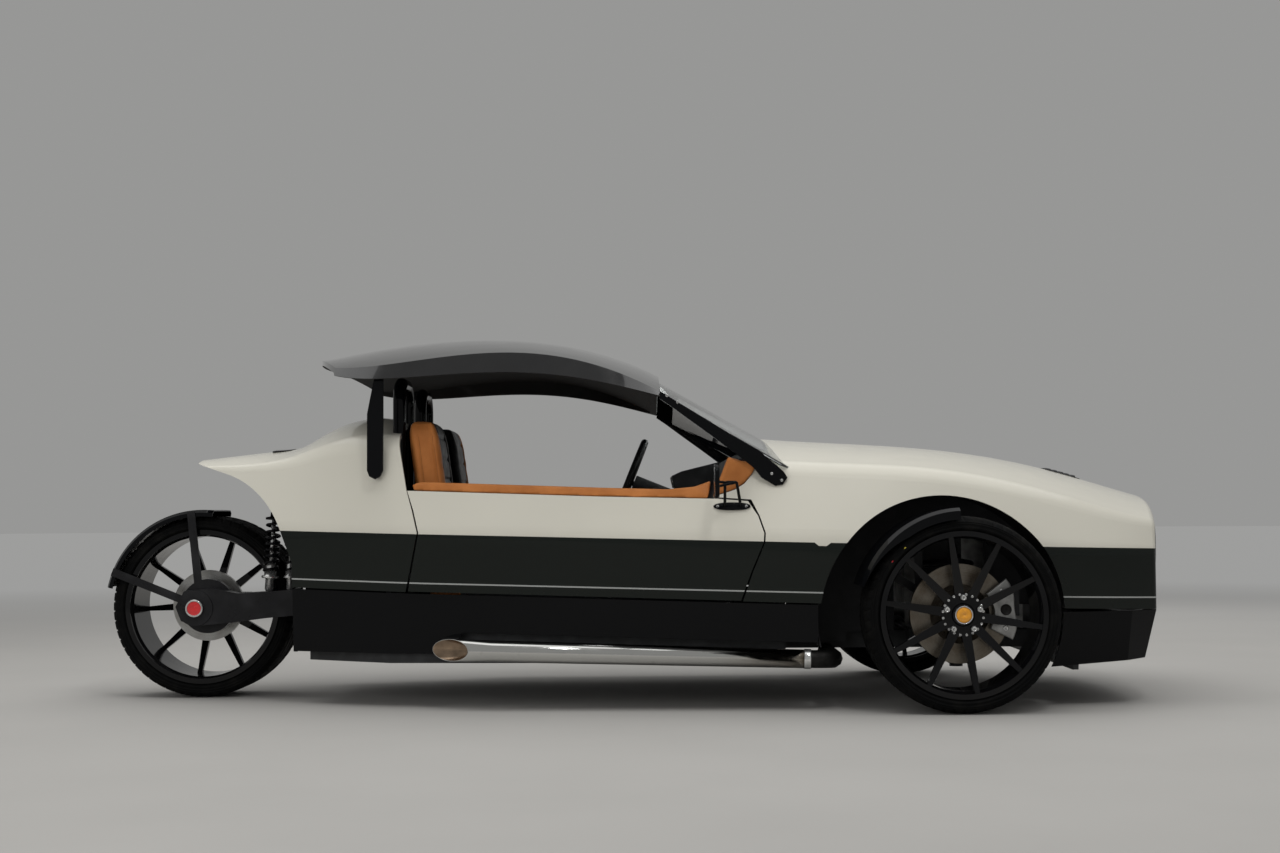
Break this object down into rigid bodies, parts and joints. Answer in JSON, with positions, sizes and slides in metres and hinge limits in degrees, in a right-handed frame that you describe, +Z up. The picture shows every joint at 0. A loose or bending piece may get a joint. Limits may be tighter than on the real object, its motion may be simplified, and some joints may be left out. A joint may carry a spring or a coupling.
{
  "type": "three wheeled car",
  "caption": "Open two-seat roadster with two steered front wheels, one rear wheel on a single-sided arm, side doors and a fixed cap roof",
  "frame": {"origin": "on the ground, below the middle of the car's length and width", "axes": "+X forward to the nose, +Y to the driver's left, +Z up"},
  "size_m": [3.7144, 1.76, 1.2801],
  "materials": {
    "black_gloss": "gloss",
    "black_plastic": "matte",
    "black_steel": "satin",
    "body_paint": "gloss",
    "cast_alloy": "satin",
    "chrome_pipe": "polished",
    "clear_glass": "gloss",
    "disc_steel": "satin",
    "red_cap": "gloss",
    "red_lens": "gloss",
    "tan_leather": "satin",
    "tub_aluminium": "satin",
    "tyre_rubber": "matte",
    "wheel_black": "gloss"
  },
  "bodies": {
    "car": {"console": "black_plastic", "cowl_trim": "tan_leather", "dashboard": "black_plastic", "engine_block": "cast_alloy", "exhausts": "chrome_pipe", "front_arms": "black_steel", "front_chin": "black_gloss", "grille": "black_gloss", "half_shafts": "black_steel", "head_lamps": "black_gloss", "head_lenses": "clear_glass", "hoops": "black_gloss", "nose_body": "body_paint", "rear_fender": "black_gloss", "rear_hub_cap": "red_cap", "rear_shock": "black_steel", "roof": "black_gloss", "roof_legs": "black_gloss", "screen_rails": "black_gloss", "seats": "tan_leather", "side_skirts": "black_gloss", "steering_column": "black_plastic", "swingarm": "black_steel", "tail_body": "body_paint", "tail_lamps": "red_lens", "tub": "tub_aluminium", "wheel_liners": "black_plastic", "windscreen": "clear_glass"},
    "door_left": {"door_left": "body_paint", "door_pad_left": "tan_leather", "mirror_left": "black_gloss"},
    "door_right": {"door_pad_right": "tan_leather", "door_right": "body_paint", "mirror_right": "black_gloss"},
    "front_wheel_left": {"front_disc_left": "disc_steel", "front_rim_left": "wheel_black", "front_tyre_left": "tyre_rubber"},
    "front_wheel_right": {"front_disc_right": "disc_steel", "front_rim_right": "wheel_black", "front_tyre_right": "tyre_rubber"},
    "knuckle_left": {"front_fender_left": "black_gloss", "knuckle_left": "cast_alloy"},
    "knuckle_right": {"front_fender_right": "black_gloss", "knuckle_right": "cast_alloy"},
    "rear_wheel": {"rear_disc": "disc_steel", "rear_rim": "wheel_black", "rear_tyre": "tyre_rubber"},
    "steering_rack": {"steering_rack": "black_steel"},
    "steering_wheel": {"steering_wheel": "black_plastic"}
  },
  "joints": [
    {"name": "door_right_hinge", "type": "hinge", "parent": "car", "child": "door_right", "pos_m": [0.365, -0.704, 0.53], "axis": [0, 0, 1], "range_deg": [0, 62]},
    {"name": "door_left_hinge", "type": "hinge", "parent": "car", "child": "door_left", "pos_m": [0.365, 0.704, 0.53], "axis": [0, 0, 1], "range_deg": [-62, 0]},
    {"name": "steer_left", "type": "hinge", "parent": "car", "child": "knuckle_left", "pos_m": [1.097, 0.676, 0.318], "axis": [0, 0, 1], "range_deg": [-30, 30]},
    {"name": "steer_right", "type": "hinge", "parent": "car", "child": "knuckle_right", "pos_m": [1.097, -0.676, 0.318], "axis": [0, 0, 1], "range_deg": [-30.5, 30.5]},
    {"name": "rack_slide", "type": "slide", "parent": "car", "child": "steering_rack", "axis": [0, 1, 0], "range_m": [-0.08, 0.08]},
    {"name": "steering_wheel_turn", "type": "hinge", "parent": "car", "child": "steering_wheel", "pos_m": [0.017, 0.315, 0.769], "axis": [-0.9272, 0, 0.3746], "range_deg": [-425, 425]},
    {"name": "front_wheel_right_spin", "type": "hinge", "parent": "knuckle_right", "child": "front_wheel_right", "pos_m": [1.097, -0.752, 0.318], "axis": [0, 1, 0], "continuous": true},
    {"name": "front_wheel_left_spin", "type": "hinge", "parent": "knuckle_left", "child": "front_wheel_left", "pos_m": [1.097, 0.752, 0.318], "axis": [0, 1, 0], "continuous": true},
    {"name": "rear_wheel_spin", "type": "hinge", "parent": "car", "child": "rear_wheel", "pos_m": [-1.513, 0, 0.325], "axis": [0, 1, 0], "continuous": true}
  ],
  "couplings": [
    {"joint": "steer_right", "follows": "steer_left", "ratio": 1},
    {"joint": "rack_slide", "follows": "steer_left", "m_per_rad": -0.14},
    {"joint": "steering_wheel_turn", "follows": "steer_left", "ratio": 14}
  ]
}
